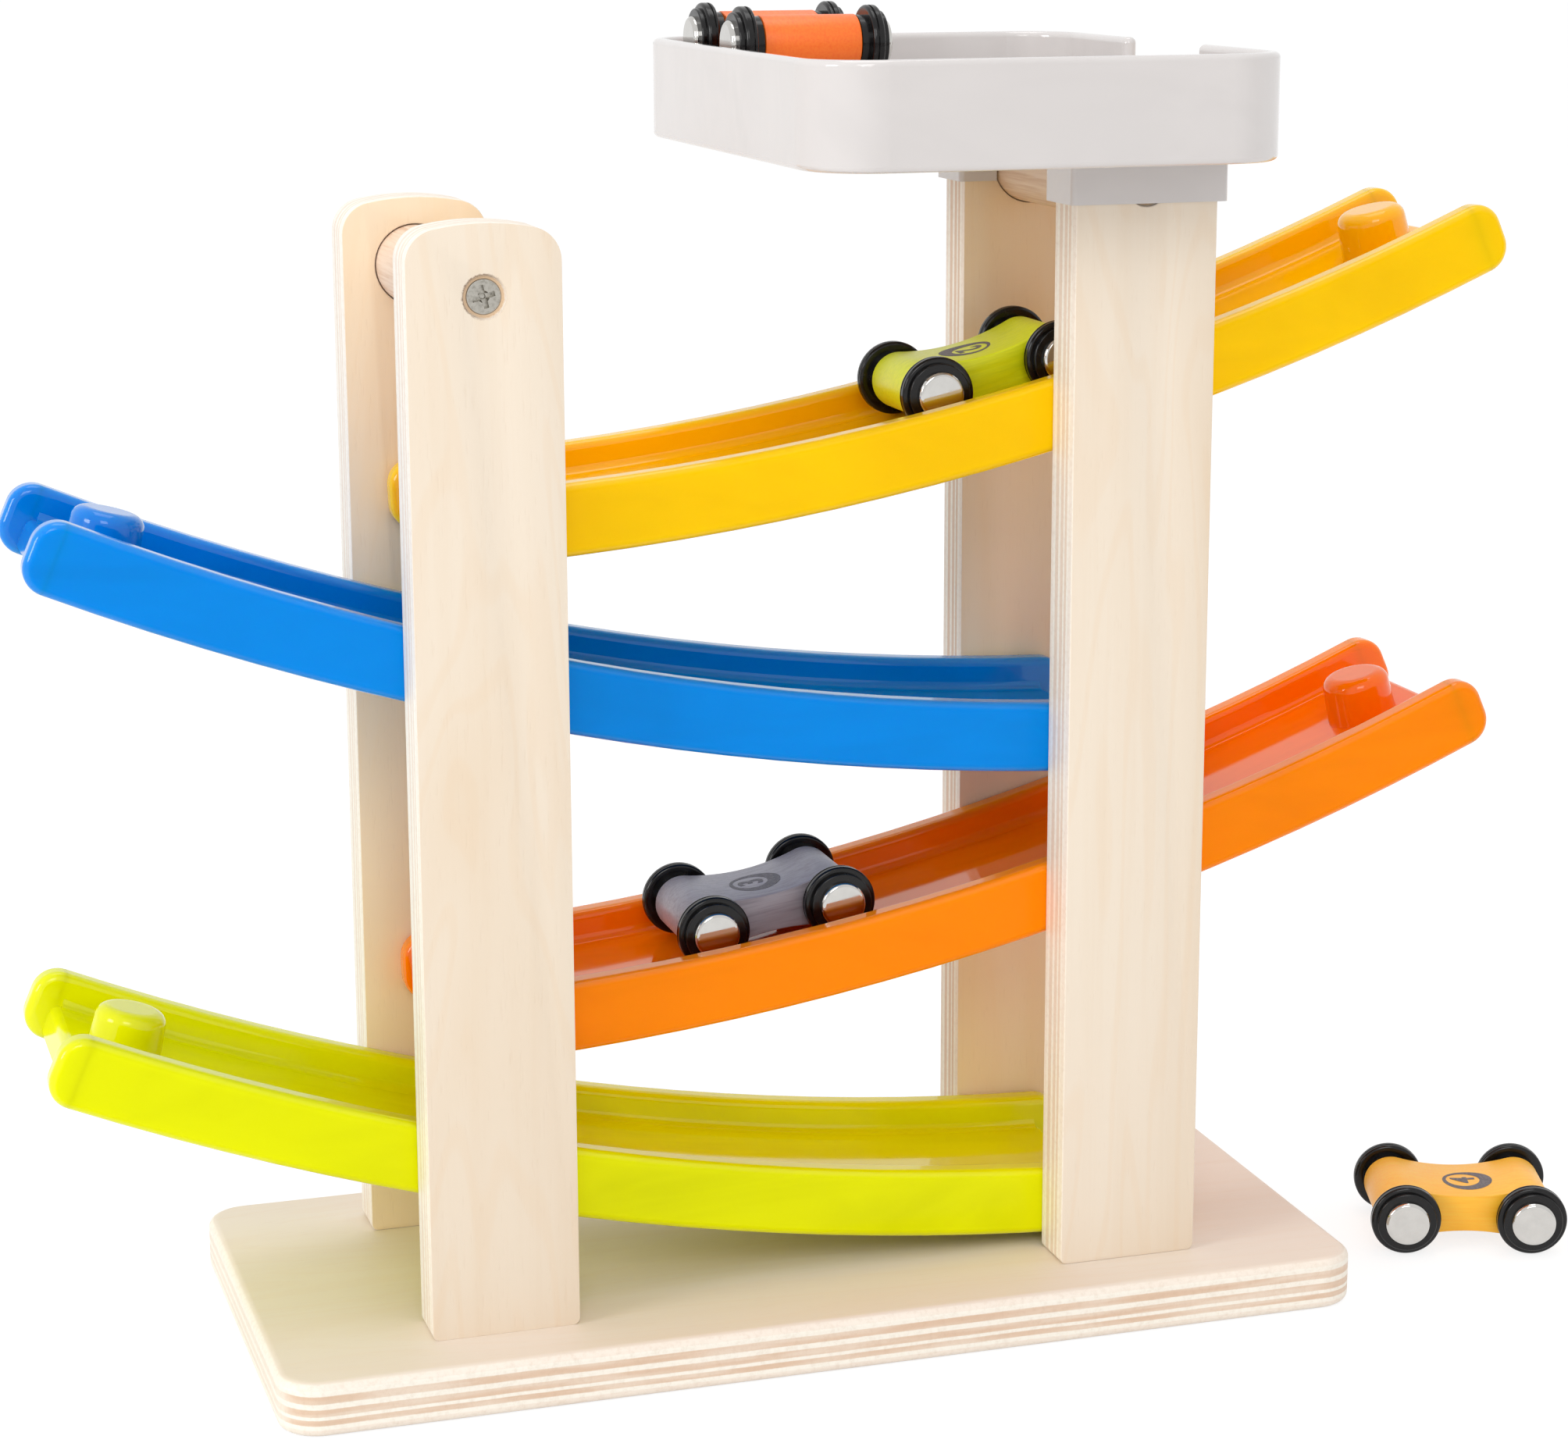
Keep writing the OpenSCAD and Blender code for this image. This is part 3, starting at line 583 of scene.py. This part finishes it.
# lays a flat print on the hollow top of the car that stands at place
def wrapOnWaist(form, place, slip):
    radius = carPrint["waistRadius"]
    bmesh.ops.translate(form, vec=(slip, 0, 0), verts=form.verts)
    for vert in form.verts:
        rise = radius - math.sqrt(radius ** 2 - vert.co.x ** 2)
        vert.co.z += carPrint["waist"] + rise
    bmesh.ops.transform(form, matrix=place, verts=form.verts)


def makeRing(place, slip):
    form = bmesh.new()
    outer, inner, lift = carPrint["outerRadius"], carPrint["innerRadius"], carPrint["lift"]
    corners = [form.verts.new((r, 0, z)) for r, z in ((inner, 0), (outer, 0), (outer, lift), (inner, lift))]
    sides = [form.edges.new((corners[i], corners[(i + 1) % 4])) for i in range(4)]
    bmesh.ops.spin(form, geom=corners + sides, cent=(0, 0, 0), axis=(0, 0, 1), angle=2 * math.pi,
                   steps=carPrint["ringSteps"], use_merge=True, use_duplicate=False)
    outside = [v for v in form.verts if v.co.xy.length > (outer + inner) / 2]
    bmesh.ops.translate(form, vec=carPrint["outerShift"], verts=outside)
    bmesh.ops.recalc_face_normals(form, faces=form.faces)
    # the spin leaves its faces in another order each run
    form.faces.sort(key=lambda f: f.calc_center_median().dot(carPrint["sortAlong"]))
    wrapOnWaist(form, place, slip)
    return form


def makeDigit(text, place, slip):
    curve = bpy.data.curves.new("digit", "FONT")
    curve.body = text
    curve.align_x = "CENTER"
    curve.align_y = "CENTER"
    curve.size = carPrint["digitSize"]
    curve.extrude = carPrint["lift"] / 2
    curve.offset = carPrint["digitBolder"]
    holder = addObject("digit", curve)
    bpy.context.view_layer.update()
    mesh = bpy.data.meshes.new_from_object(holder.evaluated_get(bpy.context.evaluated_depsgraph_get()))
    bpy.data.objects.remove(holder)
    form = bmesh.new()
    form.from_mesh(mesh)
    bpy.data.meshes.remove(mesh)
    middle = (Vector([min(v.co[i] for v in form.verts) for i in range(3)])
              + Vector([max(v.co[i] for v in form.verts) for i in range(3)])) / 2
    bmesh.ops.translate(form, vec=(-middle.x, -middle.y, carPrint["lift"] / 2), verts=form.verts)
    bmesh.ops.rotate(form, matrix=Matrix.Rotation(math.pi / 2, 3, "Z"), verts=form.verts)
    bmesh.ops.remove_doubles(form, verts=form.verts, dist=carPrint["merge"])
    bmesh.ops.recalc_face_normals(form, faces=form.faces)
    wrapOnWaist(form, place, slip)
    return form


def addPrint(name, form, finish, body):
    mesh = bpy.data.meshes.new(name)
    form.to_mesh(mesh)
    form.free()
    mesh.materials.append(finish.material)
    piece = addObject(name, mesh)
    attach(piece, body)


inkLook = {
    "shader": {"Roughness": 0.55},
    "tones": (linear(92, 86, 92), linear(120, 114, 116)),
    "noise": (1800, 3, 0.6),
    "toneRange": (0.4, 0.7),
}
wheelLook = {
    "shader": {"Specular_IOR_Level": 0.3, "Coat_Weight": 0.12, "Coat_Roughness": 0.08},
    "tones": (linear(10, 9, 10), linear(20, 19, 20)),
    "noise": (400, 4, 0.6),
    "toneRange": (0.4, 0.8),
    "roughRange": (0.35, 0.75, 0.14, 0.3),
}
capLook = {
    "shader": {"Metallic": 1.0},
    "tones": (linear(212, 210, 206), linear(194, 192, 188)),
    "noise": (300, 3, 0.6),
    "roughRange": (0.4, 0.8, 0.05, 0.13),
}

ink = makeMottled("print_ink", inkLook)
wheelBlack = makeMottled("wheel_black", wheelLook)
polished = Finish("polished_cap", **capLook["shader"])
scuff = polished.noise(*capLook["noise"])
polished.feed(Base_Color=polished.blend(scuff, *capLook["tones"]),
              Roughness=polished.spread(scuff, *capLook["roughRange"]))

for car, settings in cars.items():
    place = carPlace(car)
    body = f"{car}_car"
    slot = f"{car}_paint"
    finish = makeCarPaint(slot, settings["colour"], settings["grain"], place)
    easeEdges(f"{car}_car_body", body, easing["cars"], finish)
    printPlace = place if settings["facing"] > 0 else place @ Matrix.Rotation(math.pi, 4, "Z")
    ring = makeRing(printPlace, settings["slip"])
    digit = makeDigit(settings["number"], printPlace, settings["slip"])
    addPrint(f"{car}_car_print_ring", ring, ink, body)
    addPrint(f"{car}_car_print_number", digit, ink, body)
    for end in ("front", "rear"):
        paint(f"{car}_car_{end}_wheels", wheelBlack)
        paint(f"{car}_car_{end}_caps", polished)
print("cars ready")


# plain studio: a pale floor that keeps the shadow, soft lamps and a white surround
studio = {
    "floorSize": 40.0,
    "floor": (0.86, 0.86, 0.86, 1.0),
    "floorRough": 0.8,
    "white": (1, 1, 1, 1),
    # the floor's own light, which only the camera and reflections see
    "floorGlow": 1.15,
    "floorGlowShare": 0.7,
    # strength of the white surround for soft light, for reflections and as seen by the camera
    "surround": 0.8,
    "surroundInGloss": 0.95,
    "surroundSeen": 1.05,
    # each lamp: its place, size and power, all aimed at the middle of the toy
    "lamps": {
        "left": ((-2.2, -0.7, 1.0), 0.8, 17),
        "front": ((-0.5, -2.0, 1.5), 0.9, 11),
        "top": ((0.1, 0.3, 2.2), 1.1, 8),
    },
    "aim": (0, 0, 0.13),
}


def makeFloor():
    form = bmesh.new()
    bmesh.ops.create_grid(form, x_segments=1, y_segments=1, size=studio["floorSize"] / 2)
    mesh = bpy.data.meshes.new("floor")
    form.to_mesh(mesh)
    form.free()
    finish = Finish("floor", Base_Color=studio["floor"], Roughness=studio["floorRough"])
    seen = finish.node("LightPath", output="Is Camera Ray")
    seen = seen + finish.node("LightPath", output="Is Glossy Ray")
    glow = finish.node("Emission", {}, {"Color": studio["white"], "Strength": studio["floorGlow"]})
    mixed = finish.node("MixShader", {}, {0: seen * studio["floorGlowShare"],
                                          1: Wire(finish, finish.shader.outputs[0]), 2: glow})
    finish.link(mixed, "Material Output", "Surface")
    mesh.materials.append(finish.material)
    addObject("floor", mesh)


def makeSurround():
    world = bpy.data.worlds.new("surround")
    bpy.context.scene.world = world
    world.use_nodes = True
    sky = Recipe(world.node_tree)
    # sockets 2 and 3 of a Mix node are its two numbers
    strength = studio["surround"]
    for ray, value in (("Glossy", studio["surroundInGloss"]), ("Camera", studio["surroundSeen"])):
        isRay = sky.node("LightPath", output=f"Is {ray} Ray")
        strength = sky.node("Mix", {}, {0: isRay, 2: strength, 3: value})
    sky.tree.nodes["Background"].inputs["Color"].default_value = studio["white"]
    sky.link(strength, "Background", "Strength")


def makeLamps():
    for name, (place, size, power) in studio["lamps"].items():
        lamp = bpy.data.lights.new(name, "AREA")
        lamp.shape = "SQUARE"
        lamp.size = size
        lamp.energy = power
        aim = Vector(studio["aim"]) - Vector(place)
        turn = aim.to_track_quat("-Z", "Y").to_matrix().to_4x4()
        addObject(name, lamp).matrix_world = Matrix.Translation(place) @ turn


makeFloor()
makeSurround()
makeLamps()
print("studio ready")
